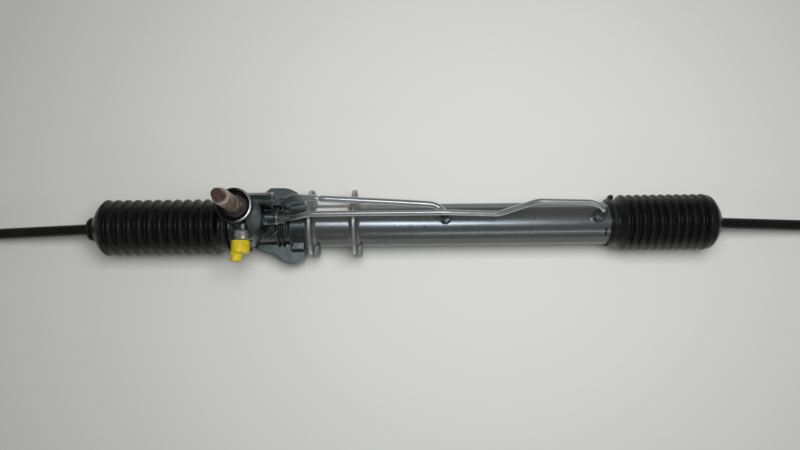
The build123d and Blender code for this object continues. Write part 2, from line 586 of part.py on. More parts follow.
for side, place in SIDES.items():
    sign = place["sign"]
    rack_end = place["rack_end"]
    ball_x = rack_end + sign * BALL_FROM_RACK_END
    ball = (ball_x, 0, 0)
    seat_plane = Plane(origin=ball, z_dir=(sign * math.cos(DROOP), 0, -math.sin(DROOP)))
    rod_plane = Plane(
        origin=ball,
        z_dir=(sign * math.cos(DROOP) * math.cos(YAW), -math.sin(YAW), -math.sin(DROOP) * math.cos(YAW)),
    )

    with BuildPart() as lock_washer:
        cylinder_x(15.0, *span(rack_end, rack_end + sign * 1.5))
        cylinder_x(7.0 + FIT, rack_end - 2, rack_end + 2, mode=Mode.SUBTRACT)
    keep(lock_washer, f"{side}_lock_washer")

    with BuildPart() as ball_socket:
        cylinder_x(SOCKET_BODY_RADIUS, *span(rack_end + sign * 1.5, ball_x + sign * 6))
        chamfer(ball_socket.edges().filter_by(GeomType.CIRCLE), 1.0)
        cylinder_x(7.0 + FIT, *span(rack_end, rack_end + sign * 12.5), mode=Mode.SUBTRACT)
        with Locations(ball):
            Sphere(SEAT_RADIUS + FIT, mode=Mode.SUBTRACT)
    keep(ball_socket, f"{side}_ball_socket")

    with BuildPart() as ball_seat:
        with Locations(ball):
            Sphere(SEAT_RADIUS)
            Sphere(BALL_RADIUS + FIT, mode=Mode.SUBTRACT)
        turned_on(seat_plane.offset(3.5), SEAT_RADIUS + 1, 12, mode=Mode.SUBTRACT)
    keep(ball_seat, f"{side}_ball_seat")

    with BuildPart() as tie_rod:
        with Locations(ball):
            Sphere(BALL_RADIUS)
        turned_on(rod_plane.offset(8), 5.5, 12)
        turned_on(rod_plane.offset(15), ROD_RADIUS, ROD_LENGTH - THREAD_LENGTH - 14)
        turned_on(rod_plane.offset(ROD_LENGTH - THREAD_LENGTH), THREAD_RADIUS - 0.4, 17)
        turned_on(rod_plane.offset(ROD_LENGTH - THREAD_LENGTH + 16), THREAD_RADIUS, THREAD_LENGTH - 16)
        prism_on(rod_plane.offset(184), 11.4, 16)
        chamfer(tie_rod.edges().filter_by(GeomType.CIRCLE).sort_by(Axis.X)[-1 if sign > 0 else 0], 1.0)
    keep(tie_rod, f"{side}_tie_rod")

    with BuildPart() as jam_nut:
        prism_on(rod_plane.offset(ROD_LENGTH - THREAD_LENGTH + 6), 22.0, 8)
        turned_on(rod_plane.offset(ROD_LENGTH - THREAD_LENGTH), THREAD_RADIUS - 0.4 + FIT, 20, mode=Mode.SUBTRACT)
    keep(jam_nut, f"{side}_jam_nut")

    with BuildPart() as boot_clip:
        turned_on(rod_plane.offset(CLIP_START), NECK_RADIUS + 1.4, 3.2)
        turned_on(rod_plane.offset(CLIP_START - 1), NECK_RADIUS + FIT, 8, mode=Mode.SUBTRACT)
    keep(boot_clip, f"{side}_boot_clip")

    # The boot's wall is a zigzag between crests and roots, then a dome, turned about the rack axis
    cuff_inner = place["cuff"] - sign * CUFF_LENGTH
    pitch = (place["last"] - place["first"]) / (place["crests"] - 1)
    outer = [(cuff_inner, TUBE_RADIUS + FIT + 2.0), (place["cuff"] + sign * 0.6, TUBE_RADIUS + FIT + 2.0)]
    inner = [(cuff_inner, TUBE_RADIUS + FIT), (place["cuff"] + sign * 0.6, TUBE_RADIUS + FIT)]
    outer.append((place["first"] - pitch * 0.36, ROOT_RADIUS + 0.5))
    inner.append((place["first"] - pitch * 0.36, ROOT_RADIUS + 0.5 - BOOT_WALL))
    for crest in range(place["crests"]):
        crest_x = place["first"] + crest * pitch
        outer.append((crest_x, CREST_RADIUS))
        inner.append((crest_x, CREST_RADIUS - BOOT_WALL))
        if crest < place["crests"] - 1:
            outer.append((crest_x + pitch / 2, ROOT_RADIUS))
            inner.append((crest_x + pitch / 2, ROOT_RADIUS - BOOT_WALL))
    for offset, radius in place["dome"]:
        outer.append((place["last"] + sign * offset, radius))
        inner.append((place["last"] + sign * (offset - BOOT_WALL * 0.9), radius - BOOT_WALL * 0.5))
    inner[-1] = (inner[-1][0], outer[-1][1])
    dome_end = abs(place["last"] - ball_x) + place["dome"][-1][0]
    neck_back = min(dome_end - 1.6, CLIP_START - 2)
    with BuildPart() as boot:
        with BuildSketch(Plane.XZ):
            Polygon(*outer, *reversed(inner), align=None)
        revolve(axis=Axis.X)
        turned_on(rod_plane.offset(neck_back), NECK_RADIUS, place["neck_end"] - neck_back)
        neck_edge = boot.edges().filter_by(GeomType.CIRCLE).sort_by(Axis.X)[-1 if sign > 0 else 0]
        chamfer(neck_edge, place["neck_chamfer"])
        turned_on(rod_plane.offset(15), ROD_RADIUS + FIT, 40, mode=Mode.SUBTRACT)
    keep(boot, f"{side}_boot")

    with BuildPart() as boot_clamp:
        band_x = place["cuff"] - sign * CUFF_LENGTH / 2
        cylinder_x(TUBE_RADIUS + FIT + 3.2, band_x - 2.5, band_x + 2.5)
        cylinder_z(3.2, -4, 4, band_x, TUBE_RADIUS + 5.3)
        cylinder_x(TUBE_RADIUS + FIT + 2.0, band_x - 4, band_x + 4, mode=Mode.SUBTRACT)
    keep(boot_clamp, f"{side}_boot_clamp")
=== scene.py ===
import json
import math

import bmesh
import bpy
from mathutils import Matrix, Vector


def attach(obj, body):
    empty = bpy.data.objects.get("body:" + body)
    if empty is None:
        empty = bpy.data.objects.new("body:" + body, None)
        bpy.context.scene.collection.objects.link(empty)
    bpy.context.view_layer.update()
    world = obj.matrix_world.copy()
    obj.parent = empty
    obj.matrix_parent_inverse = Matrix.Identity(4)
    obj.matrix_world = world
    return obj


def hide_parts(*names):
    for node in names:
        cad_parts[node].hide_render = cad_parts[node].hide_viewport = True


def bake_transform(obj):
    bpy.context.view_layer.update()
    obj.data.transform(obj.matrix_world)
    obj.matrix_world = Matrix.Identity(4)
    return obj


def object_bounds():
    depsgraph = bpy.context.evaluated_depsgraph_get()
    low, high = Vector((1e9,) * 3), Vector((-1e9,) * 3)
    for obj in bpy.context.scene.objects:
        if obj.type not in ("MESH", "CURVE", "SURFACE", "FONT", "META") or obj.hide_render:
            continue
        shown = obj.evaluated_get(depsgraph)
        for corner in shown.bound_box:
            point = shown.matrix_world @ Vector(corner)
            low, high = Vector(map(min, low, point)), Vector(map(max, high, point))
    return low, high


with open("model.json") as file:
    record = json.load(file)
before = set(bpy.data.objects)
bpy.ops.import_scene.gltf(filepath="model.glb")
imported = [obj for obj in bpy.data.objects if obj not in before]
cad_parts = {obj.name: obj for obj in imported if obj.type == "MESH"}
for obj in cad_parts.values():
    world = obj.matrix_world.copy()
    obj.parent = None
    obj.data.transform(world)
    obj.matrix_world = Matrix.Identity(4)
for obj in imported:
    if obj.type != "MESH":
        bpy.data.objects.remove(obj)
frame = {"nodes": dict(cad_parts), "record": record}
cad_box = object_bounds()
MM = 0.001
scene = bpy.context.scene
scene.view_settings.view_transform = "Standard"

# ------------------------------------------------------------------ camera
CAMERA_X = 75.9 * MM
CAMERA_DISTANCE = 759 * MM
CAMERA_ELEVATION = math.radians(82)
CAMERA_ROLL = math.radians(0.6)
FOCAL_PIXELS = 660
IMAGE_WIDTH = 800
SENSOR_WIDTH = 36

back = Vector((0, -math.cos(CAMERA_ELEVATION), math.sin(CAMERA_ELEVATION)))
right = Vector((1, 0, 0))
up = back.cross(right)
rolled_right = right * math.cos(CAMERA_ROLL) - up * math.sin(CAMERA_ROLL)
rolled_up = right * math.sin(CAMERA_ROLL) + up * math.cos(CAMERA_ROLL)
camera = bpy.data.objects.new("camera", bpy.data.cameras.new("camera"))
scene.collection.objects.link(camera)
camera.data.sensor_width = SENSOR_WIDTH
camera.data.lens = SENSOR_WIDTH * FOCAL_PIXELS / IMAGE_WIDTH
camera.data.clip_start = 0.01
camera.data.clip_end = 20
turn = Matrix((rolled_right, rolled_up, back)).transposed()
camera.matrix_world = Matrix.Translation(Vector((CAMERA_X, 0, 0)) + back * CAMERA_DISTANCE) @ turn.to_4x4()
scene.camera = camera


# ------------------------------------------------------------------ material helpers
def new_material(name):
    material = bpy.data.materials.new(name)
    material.use_nodes = True
    return material, material.node_tree, material.node_tree.nodes["Principled BSDF"]


def link(tree, source, target):
    tree.links.new(source, target)


def ramp_node(tree, factor, stops):
    """Colour ramp with stops of (position, colour)."""
    ramp = tree.nodes.new("ShaderNodeValToRGB")
    elements = ramp.color_ramp.elements
    while len(elements) < len(stops):
        elements.new(0.5)
    for element, (position, colour) in zip(elements, stops):
        element.position = position
        element.color = (*colour, 1)
    link(tree, factor, ramp.inputs["Fac"])
    return ramp.outputs["Color"]


def noise_node(tree, scale, detail=4, stretch=(1, 1, 1)):
    """Noise in the object's own coordinates, in metres, stretched along its axes."""
    place = tree.nodes.new("ShaderNodeTexCoord")
    mapping = tree.nodes.new("ShaderNodeMapping")
    mapping.inputs["Scale"].default_value = stretch
    noise = tree.nodes.new("ShaderNodeTexNoise")
    noise.inputs["Scale"].default_value = scale
    noise.inputs["Detail"].default_value = detail
    link(tree, place.outputs["Object"], mapping.inputs["Vector"])
    link(tree, mapping.outputs["Vector"], noise.inputs["Vector"])
    return noise.outputs["Fac"]


def bump_node(tree, height, strength, distance=0.0004):
    bump = tree.nodes.new("ShaderNodeBump")
    bump.inputs["Strength"].default_value = strength
    bump.inputs["Distance"].default_value = distance
    link(tree, height, bump.inputs["Height"])
    return bump.outputs["Normal"]


def range_node(tree, value, low, high):
    """Maps 0..1 to low..high."""
    mapped = tree.nodes.new("ShaderNodeMapRange")
    mapped.inputs["To Min"].default_value = low
    mapped.inputs["To Max"].default_value = high
    link(tree, value, mapped.inputs["Value"])
    return mapped.outputs["Result"]


def step_node(tree, value, none, full):
    """0 where the value is at none or beyond, 1 where it is at full or beyond."""
    mapped = tree.nodes.new("ShaderNodeMapRange")
    mapped.inputs["From Min"].default_value = none
    mapped.inputs["From Max"].default_value = full
    link(tree, value, mapped.inputs["Value"])
    return mapped.outputs["Result"]


def math_node(tree, operation, *values):
    """Arithmetic on sockets and numbers."""
    node = tree.nodes.new("ShaderNodeMath")
    node.operation = operation
    for socket, value in zip(node.inputs, values):
        if isinstance(value, (int, float)):
            socket.default_value = value
        else:
            link(tree, value, socket)
    return node.outputs["Value"]


def place_mask(tree, axis, low, high, soft):
    """1 where the object's own coordinate, in millimetres, lies between low and high."""
    place = tree.nodes.new("ShaderNodeTexCoord")
    split = tree.nodes.new("ShaderNodeSeparateXYZ")
    link(tree, place.outputs["Object"], split.inputs["Vector"])
    edges = []
    for start, end in ((low - soft, low + soft), (high + soft, high - soft)):
        edge = tree.nodes.new("ShaderNodeMapRange")
        edge.interpolation_type = "SMOOTHSTEP"
        edge.inputs["From Min"].default_value = start * MM
        edge.inputs["From Max"].default_value = end * MM
        link(tree, split.outputs[axis], edge.inputs["Value"])
        edges.append(edge.outputs["Result"])
    return math_node(tree, "MULTIPLY", *edges)


def patch_mask(tree, along, across):
    """1 in a patch given by its low and high edges and their softness, along X and across Y."""
    return math_node(tree, "MULTIPLY", place_mask(tree, "X", *along), place_mask(tree, "Y", *across))


def stain_and_painted_light(tree, colour, mask, share, over):
    """The colour, with a share of another laid over it where the mask is; used both for real stains and for
    painted light and shade.
    """
    mix = tree.nodes.new("ShaderNodeMix")
    mix.data_type = "RGBA"
    link(tree, math_node(tree, "MULTIPLY", mask, share), mix.inputs["Factor"])
    base, top = (socket for socket in mix.inputs if socket.type == "RGBA")
    link(tree, colour, base)
    top.default_value = (*over, 1)
    return next(socket for socket in mix.outputs if socket.type == "RGBA")


def surface(name, dark, light, metallic, rough, scale, bump, bump_scale=400, gloss=0.5):
    """General finish: colour between dark and light by noise, roughness in a range, fine bump."""
    material, tree, shader = new_material(name)
    patches = noise_node(tree, scale, 6)
    link(tree, ramp_node(tree, patches, [(0.3, dark), (0.7, light)]), shader.inputs["Base Color"])
    shader.inputs["Metallic"].default_value = metallic
    shader.inputs["Specular IOR Level"].default_value = gloss
    fine = noise_node(tree, scale * 3, 5)
    link(tree, range_node(tree, fine, *rough), shader.inputs["Roughness"])
    grain = noise_node(tree, bump_scale, 6)
    link(tree, bump_node(tree, grain, bump), shader.inputs["Normal"])
    return material


# ------------------------------------------------------------------ floor and light
FLOOR_Z = cad_box[0][2]
FLOOR_REACH = 6.0

floor_mesh = bpy.data.meshes.new("floor")
floor_mesh.from_pydata(
    [(x * FLOOR_REACH, y * FLOOR_REACH, FLOOR_Z) for x, y in ((-1, -1), (1, -1), (1, 1), (-1, 1))],
    [], [(0, 1, 2, 3)],
)
floor = bpy.data.objects.new("floor", floor_mesh)
scene.collection.objects.link(floor)
floor_finish, floor_tree, floor_shader = new_material("floor_finish")
floor_shader.inputs["Base Color"].default_value = (0.60, 0.60, 0.571, 1)
floor_shader.inputs["Roughness"].default_value = 0.75
floor_mesh.materials.append(floor_finish)

world = bpy.data.worlds.new("world")
world.use_nodes = True
world.node_tree.nodes["Background"].inputs["Color"].default_value = (0.98, 0.985, 0.94, 1)
world.node_tree.nodes["Background"].inputs["Strength"].default_value = 0.17
scene.world = world


def area_light(name, place, target, size, power, colour=(1, 1, 1), shape="RECTANGLE"):
    data = bpy.data.lights.new(name, "AREA")
    data.shape = shape
    data.size, data.size_y = size
    data.energy = power
    data.color = colour
    lamp = bpy.data.objects.new(name, data)
    scene.collection.objects.link(lamp)
    lamp.location = place
    lamp.rotation_mode = "QUATERNION"
    lamp.rotation_quaternion = (Vector(target) - Vector(place)).to_track_quat("-Z", "Y")
    return lamp


# The wide lamp lights the floor evenly and stays out of reflections; metal shows the other two
wide = area_light("wide", (0.19, 0.05, 0.77), (0.19, 0.05, 0), (0.44, 0.38), 6.1)
wide.visible_glossy = False
area_light("ceiling", (0.11, 0.03, 1.9), (0.09, 0, 0), (0.9, 0.42), 6.2, (0.88, 0.94, 1.0), "ELLIPSE")
area_light("window", (0.50, -1.64, 1.15), (0.2, 0, 0), (1.0, 0.07), 1.0)

# ------------------------------------------------------------------ finishes
# Dark and light colour, metallic, roughness from and to, patches per metre, bump, its scale, gloss
FINISH_VALUES = {
    "cast_iron": ((0.07, 0.084, 0.084), (0.14, 0.16, 0.155), 1.0, (0.24, 0.38), 90, 0.3, 900),
    "dark_steel": ((0.02, 0.02, 0.022), (0.05, 0.05, 0.05), 0.6, (0.35, 0.5), 80, 0.1),
    "zinc_steel": ((0.26, 0.285, 0.31), (0.35, 0.38, 0.405), 1.0, (0.19, 0.25), 40, 0.05),
    "flange_zinc": ((0.19, 0.19, 0.18), (0.30, 0.30, 0.29), 0.85, (0.46, 0.56), 90, 0.2),
    # Lighter copy of the flange zinc for the rim band: a painted highlight
    "rim_highlight_zinc": ((0.46, 0.47, 0.46), (0.64, 0.65, 0.63), 1.0, (0.4, 0.48), 90, 0.1),
    # Lighter steel for the port lips: painted highlight lines at the port ends
    "lip_highlight_steel": ((0.42, 0.43, 0.41), (0.60, 0.61, 0.59), 1.0, (0.22, 0.32), 120, 0.1),
    "line_steel": ((0.58, 0.60, 0.60), (0.74, 0.76, 0.76), 1.0, (0.24, 0.31), 60, 0.05),
    "nut_steel": ((0.15, 0.17, 0.18), (0.34, 0.37, 0.38), 1.0, (0.2, 0.34), 120, 0.15),
    "yellow_plastic": ((0.44, 0.31, 0.004), (0.56, 0.47, 0.02), 0.0, (0.3, 0.42), 140, 0.05),
    "seal_rubber": ((0.01, 0.01, 0.01), (0.03, 0.03, 0.03), 0.0, (0.45, 0.6), 60, 0.1),
    "spring_steel": ((0.2, 0.2, 0.2), (0.34, 0.34, 0.34), 1.0, (0.3, 0.4), 60, 0.05),
    "bearing_steel": ((0.5, 0.5, 0.52), (0.62, 0.62, 0.64), 1.0, (0.18, 0.28), 60, 0.02),
    "carrier_steel": ((0.20, 0.20, 0.21), (0.36, 0.35, 0.37), 1.0, (0.25, 0.4), 70, 0.1),
    "machined_iron": ((0.26, 0.27, 0.25), (0.44, 0.45, 0.42), 0.75, (0.28, 0.42), 120, 0.12),
    "yoke_plastic": ((0.05, 0.047, 0.043), (0.1, 0.095, 0.09), 0.0, (0.4, 0.55), 60, 0.1),
    "boot_rubber": ((0.002, 0.002, 0.0021), (0.006, 0.006, 0.0062), 0.0, (0.27, 0.4), 120, 0.08, 700, 0.34),
    "clamp_steel": ((0.008, 0.008, 0.008), (0.03, 0.03, 0.03), 0.4, (0.3, 0.45), 60, 0.05),
    "ground_steel": ((0.5, 0.51, 0.53), (0.64, 0.65, 0.67), 1.0, (0.15, 0.25), 60, 0.02),
    "seat_nylon": ((0.72, 0.70, 0.62), (0.82, 0.80, 0.73), 0.0, (0.35, 0.45), 60, 0.02),
    "rod_steel": ((0.002, 0.002, 0.002), (0.007, 0.007, 0.0065), 0.0, (0.3, 0.44), 80, 0.12, 400, 0.3),
    "rusted_steel": ((0.055, 0.03, 0.022), (0.25, 0.205, 0.18), 0.5, (0.34, 0.5), 160, 0.3, 1200),
}
FINISHES = {name: surface(name, *values) for name, values in FINISH_VALUES.items()}

# Each mark's low edge, high edge and softness along an axis, in millimetres
# Painted highlight: a bright, rough, non-metal patch on the tube between the flanges that stands in for a
# reflection
HIGHLIGHT_ALONG, HIGHLIGHT_ACROSS = (-19.5, 19.5, 1.2), (14.3, 18.2, 0.7)
# Painted shade: a near-black patch where the stake slot is
SLOT_SHADE_ALONG, SLOT_SHADE_ACROSS = (305.2, 307.0, 0.4), (-16.5, -8.5, 0.8)
# Painted shade: the tube is darker below this height, standing in for the shadowed floor it reflects
SHADE_BELOW = (-50, 14.5, 3)
STAINED_ALONG = (25, 130, 10)
TURNED_ALONG = (28.5, 46, 3)
SHAFT_END = (113.5, 140, 1.2)
SHAFT_SHOULDER = (108.5, 112.8, 0.6)
DARKER_LINE_START = (-90, -34, 10)
# Painted shade over the tower edge on the boot's side
SHADED_EDGE_SIDE = (-200, -97, 5)


def tube_finish():
    """Zinc-plated tube: drawn along its length, with a painted highlight between the flanges and painted shade on
    its lower part and in its stake slot, turned and stained.
    """
    material, tree, shader = new_material("tube_zinc")
    drawn = noise_node(tree, 30, 6, (0.25, 1, 1))
    colour = ramp_node(tree, drawn, [(0.3, (0.235, 0.25, 0.262)), (0.7, (0.315, 0.335, 0.345))])
    # Painted highlight between the flanges, standing in for a reflection
    highlight_patch = patch_mask(tree, HIGHLIGHT_ALONG, HIGHLIGHT_ACROSS)
    colour = stain_and_painted_light(tree, colour, highlight_patch, 1, (0.80, 0.80, 0.77))
    # Painted shade on the tube's lower part
    colour = stain_and_painted_light(tree, colour, place_mask(tree, "Z", *SHADE_BELOW), 0.75, (0.09, 0.09, 0.084))
    # Painted shade of the stake slot
    colour = stain_and_painted_light(tree, colour, patch_mask(tree, SLOT_SHADE_ALONG, SLOT_SHADE_ACROSS), 1, (0.004, 0.004, 0.004))
    spots = step_node(tree, noise_node(tree, 130, 3), 0.64, 0.72)
    stained = math_node(tree, "MULTIPLY", spots, place_mask(tree, "X", *STAINED_ALONG))
    colour = stain_and_painted_light(tree, colour, stained, 0.6, (0.06, 0.06, 0.065))
    link(tree, colour, shader.inputs["Base Color"])
    link(tree, step_node(tree, highlight_patch, 0.9, 0.1), shader.inputs["Metallic"])
    fine = range_node(tree, noise_node(tree, 90, 5, (0.2, 1, 1)), 0.24, 0.31)
    link(tree, math_node(tree, "MULTIPLY_ADD", highlight_patch, 0.35, fine), shader.inputs["Roughness"])
    rings = noise_node(tree, 60, 2, (28, 0.02, 0.02))
    turned = math_node(tree, "MULTIPLY", rings, place_mask(tree, "X", *TURNED_ALONG))
    grain = noise_node(tree, 260, 5, (0.15, 1, 1))
    height = math_node(tree, "MULTIPLY_ADD", grain, 0.09, turned)
    link(tree, bump_node(tree, height, 0.14, 0.0003), shader.inputs["Normal"])
    return material


def shaft_finish():
    """Brownish-grey steel with rust, darkest on the shaft's end."""
    material, tree, shader = new_material("shaft_rust")
    patches = noise_node(tree, 170, 7)
    colour = ramp_node(
        tree, patches, [(0.3, (0.07, 0.04, 0.03)), (0.48, (0.17, 0.12, 0.095)), (0.7, (0.36, 0.31, 0.27))],
    )
    colour = stain_and_painted_light(tree, colour, place_mask(tree, "Z", *SHAFT_END), 1, (0.05, 0.028, 0.022))
    colour = stain_and_painted_light(tree, colour, place_mask(tree, "Z", *SHAFT_SHOULDER), 0.6, (0.42, 0.36, 0.32))
    link(tree, colour, shader.inputs["Base Color"])
    shader.inputs["Metallic"].default_value = 0.35
    link(tree, range_node(tree, noise_node(tree, 400, 5), 0.34, 0.52), shader.inputs["Roughness"])
    link(tree, bump_node(tree, noise_node(tree, 1100, 6), 0.35), shader.inputs["Normal"])
    return material


def line_finish():
    """Bright steel line, darker where it leaves the housing."""
    material, tree, shader = new_material("line_bright")
    patches = noise_node(tree, 60, 6, (0.3, 1, 1))
    colour = ramp_node(tree, patches, [(0.3, (0.58, 0.60, 0.60)), (0.7, (0.74, 0.76, 0.76))])
    colour = stain_and_painted_light(tree, colour, place_mask(tree, "X", *DARKER_LINE_START), 0.8, (0.10, 0.115, 0.118))
    link(tree, colour, shader.inputs["Base Color"])
    shader.inputs["Metallic"].default_value = 1.0
    link(tree, range_node(tree, noise_node(tree, 20, 2), 0.29, 0.33), shader.inputs["Roughness"])
    return material


def edge_finish():
    """Bright cast edge, with painted shade over the side towards the boot so that only the far side shows a
    highlight.
    """
    material, tree, shader = new_material("edge_painted_shade")
    patches = noise_node(tree, 120, 3)
    colour = ramp_node(tree, patches, [(0.3, (0.42, 0.43, 0.41)), (0.7, (0.60, 0.61, 0.59))])
    # Painted shade on the boot's side of the edge
    colour = stain_and_painted_light(tree, colour, place_mask(tree, "X", *SHADED_EDGE_SIDE), 0.93, (0.03, 0.033, 0.033))
    link(tree, colour, shader.inputs["Base Color"])
    shader.inputs["Metallic"].default_value = 1.0
    link(tree, range_node(tree, patches, 0.26, 0.36), shader.inputs["Roughness"])
    return material


NODE_FINISH = {
    "cylinder_tube": tube_finish(),
    "input_shaft": shaft_finish(),
    "seat_flange_left": FINISHES["flange_zinc"],
    "seat_flange_right": FINISHES["flange_zinc"],
}
slot_of = {part["node"]: part["material_slot"] for part in frame["record"]["subparts"]}
for node, thing in frame["nodes"].items():
    thing.data.materials.clear()
    thing.data.materials.append(NODE_FINISH.get(node, FINISHES[slot_of[node]]))


# ------------------------------------------------------------------ shape helpers
def mesh_piece(name, vertices, faces, finish, smooth_angle=40):
    """Object from points in millimetres, shaded smooth up to an angle."""
    mesh = bpy.data.meshes.new(name)
    mesh.from_pydata([(x * MM, y * MM, z * MM) for x, y, z in vertices], [], faces)
    mesh.validate()
    mesh.shade_smooth()
    mesh.set_sharp_from_angle(angle=math.radians(smooth_angle))
    piece = bpy.data.objects.new(name, mesh)
    scene.collection.objects.link(piece)
    mesh.materials.append(finish)
    return piece


def basis(direction):
    """Three axes, the first along the direction and the third as near upright as can be."""
    along = Vector(direction).normalized()
    hint = Vector((0, 0, 1) if abs(along.z) < 0.9 else (0, 1, 0))
    side = hint.cross(along).normalized()
    return along, side, along.cross(side)


def lathe(name, profile, origin, direction, finish, steps=96, smooth_angle=40):
    """Closed profile of (distance along, radius) turned about an axis through origin."""
    along, side, over = basis(direction)
    origin = Vector(origin)
    vertices = []
    for step in range(steps):
        angle = 2 * math.pi * step / steps
        spoke = side * math.cos(angle) + over * math.sin(angle)
        vertices += [tuple(origin + along * distance + spoke * radius) for distance, radius in profile]
    count = len(profile)
    faces = []
    for step in range(steps):
        after = (step + 1) % steps
        for point in range(count):
            following = (point + 1) % count
            faces.append((
                step * count + point, step * count + following,
                after * count + following, after * count + point,
            ))
    return mesh_piece(name, vertices, faces, finish, smooth_angle)


def rounded(points, radius, steps=4):
    """Open run of 2-D points with its inner corners rounded."""
    longest_share = 0.48
    out = [points[0]]
    for before, corner, after in zip(points, points[1:], points[2:]):
        corner = Vector(corner)
        back_way = Vector(before) - corner
        on_way = Vector(after) - corner
        reach = min(radius, back_way.length * longest_share, on_way.length * longest_share)
        first = corner + back_way.normalized() * reach
        last = corner + on_way.normalized() * reach
        for step in range(steps + 1):
            t = step / steps
            out.append(tuple(first * (1 - t) ** 2 + corner * 2 * t * (1 - t) + last * t ** 2))
    out.append(points[-1])
    return out


def smooth_run(points, steps):
    """More points along a run of 2-D points, on a smooth curve through them."""
    out = []
    count = len(points)
    for index in range(count - 1):
        a, b, c, d = (Vector(points[min(max(index + shift, 0), count - 1)]) for shift in (-1, 0, 1, 2))
        square, cube = 2 * a - 5 * b + 4 * c - d, 3 * b - a - 3 * c + d
        for step in range(steps):
            t = step / steps
            out.append(tuple(0.5 * (2 * b + (c - a) * t + square * t ** 2 + cube * t ** 3)))
    out.append(points[-1])
    return out


def arc_route(points, radii, step=1.5):
    """Straight runs joined by tangent arcs, as closely spaced points."""
    points = [Vector(point) for point in points]
    out = [points[0]]
    for index, radius in enumerate(radii, 1):
        back_way = (points[index - 1] - points[index]).normalized()
        on_way = (points[index + 1] - points[index]).normalized()
        half = back_way.angle(on_way) / 2
        reach = radius / math.tan(half)
        centre = points[index] + (back_way + on_way).normalized() * radius / math.sin(half)
        first = points[index] + back_way * reach - centre
        last = points[index] + on_way * reach - centre
        turn = first.angle(last)
        count = max(3, int(turn * radius / step))
        for number in range(count + 1):
            t = number / count
            arm = (first * math.sin((1 - t) * turn) + last * math.sin(t * turn)) / math.sin(turn)
            out.append(centre + arm)
    out.append(points[-1])
    dense = []
    for a, b in zip(out, out[1:]):
        count = max(1, int((b - a).length / (step * 2)))
        dense += [a.lerp(b, number / count) for number in range(count)]
    return dense + [out[-1]]


def swept(name, route, radius, finish, shape, sides=32):
    """Round bar along a route of close points; shape gives the radius factor at each length."""
    vertices, faces = [], []
    along = (route[1] - route[0]).normalized()
    spoke = along.orthogonal().normalized()
    length = 0.0
    for index, point in enumerate(route):
        before = route[max(index - 1, 0)]
        after = route[min(index + 1, len(route) - 1)]
        length += (point - before).length
        along = (after - before).normalized()
        spoke = (spoke - along * spoke.dot(along)).normalized()
        over = along.cross(spoke)
        size = radius * shape(length)
        for side in range(sides):
            angle = 2 * math.pi * side / sides
            vertices.append(tuple(point + spoke * (size * math.cos(angle)) + over * (size * math.sin(angle))))
    for index in range(len(route) - 1):
        for side in range(sides):
            after = (side + 1) % sides
            low = index * sides
            faces.append((low + side, low + after, low + sides + after, low + sides + side))
    faces.append(tuple(reversed(range(sides))))
    faces.append(tuple(range((len(route) - 1) * sides, len(route) * sides)))
    return mesh_piece(name, vertices, faces, finish, 60)


def bake(piece):
    """Applies every modifier of a piece."""
    graph = bpy.context.evaluated_depsgraph_get()
    finished = bpy.data.meshes.new_from_object(piece.evaluated_get(graph))
    piece.modifiers.clear()
    old = piece.data
    piece.data = finished
    if not finished.materials:
        for material in old.materials:
            finished.materials.append(material)


def soften(piece, voxel, rounds):
    """Rounds a piece's edges as casting does: a fine remesh, then smoothing. Voxel in millimetres."""
    remesh = piece.modifiers.new("remesh", "REMESH")
    remesh.mode = "VOXEL"
    remesh.voxel_size = voxel * MM
    smooth = piece.modifiers.new("smooth", "SMOOTH")
    smooth.factor = 0.5
    smooth.iterations = rounds
    bake(piece)


def copy_node(node, name, finish):
    """New piece with a CAD node's shape."""
    source = frame["nodes"][node]
    mesh = source.data.copy()
    mesh.transform(source.matrix_world)
    mesh.name = name
    piece = bpy.data.objects.new(name, mesh)
    scene.collection.objects.link(piece)
    mesh.materials.clear()
    mesh.materials.append(finish)
    return piece


def fuse(name, pieces, voxel, rounds):
    """One piece from overlapping ones, with soft joins between them."""
    base = pieces[0]
    joined = bmesh.new()
    for piece in pieces:
        joined.from_mesh(piece.data)
    joined.to_mesh(base.data)
    joined.free()
    for piece in pieces[1:]:
        bpy.data.objects.remove(piece)
    base.name = name
    soften(base, voxel, rounds)
    base.data.shade_smooth()
    return base


# ------------------------------------------------------------------ boots
SIGN = {"left": -1, "right": 1}
CREST_RADIUS = 32.0
ROOT_RADIUS = 26.5
BOOT_WALL = 1.8
BOOT_STEPS = 144
CUFF_RADIUS = 26.0
CUFF_BORE = 24.1
CUFF_LIP = 1.6
CRESTS = {"left": 12, "right": 11}
BALL_X = {"left": -241.0, "right": 402.0}
CUFF_EDGE = {"left": -118.0, "right": 312.0}
CUFF_END = {"left": -127.0, "right": 321.0}
FIRST_CREST = {"left": -132.9, "right": 329.1}
LAST_CREST = {"left": -258.3, "right": 420.9}
# Distance beyond the last crest and radius
DOME = {
    "left": [
        (0.9, 31.7), (1.8, 31.0), (3.2, 29.9), (5.1, 28.0), (6.6, 26.0), (7.9, 24.0), (9.2, 22.0), (10.5, 20.0),
        (12.0, 17.9), (13.4, 15.9), (14.9, 13.9), (16.0, 12.4),
    ],
    "right": [
        (2.0, 31.6), (4.4, 31.2), (6.8, 30.6), (8.4, 29.7), (9.9, 28.2), (11.5, 26.2), (13.2, 24.1), (14.6, 22.0),
        (15.9, 19.9), (18.1, 16.0), (20.0, 12.4), (21.4, 9.4), (22.3, 6.6),
    ],
}
DOME_SPLIT = 6
DOME_STEPS = 4
# Distance from the ball's centre and radius
NECK = [(32.0, 10.5), (33.5, 12.0), (39.7, 12.0), (40.2, 11.0), (42.2, 8.0), (42.6, 6.3), (32.0, 6.3)]
ROD_BORE = 6.5
DROOP = math.radians(6.4)
YAW = math.radians(1.2)


def rod_direction(side):
    return Vector((
        SIGN[side] * math.cos(DROOP) * math.cos(YAW), -math.sin(YAW), -math.sin(DROOP) * math.cos(YAW),
    ))


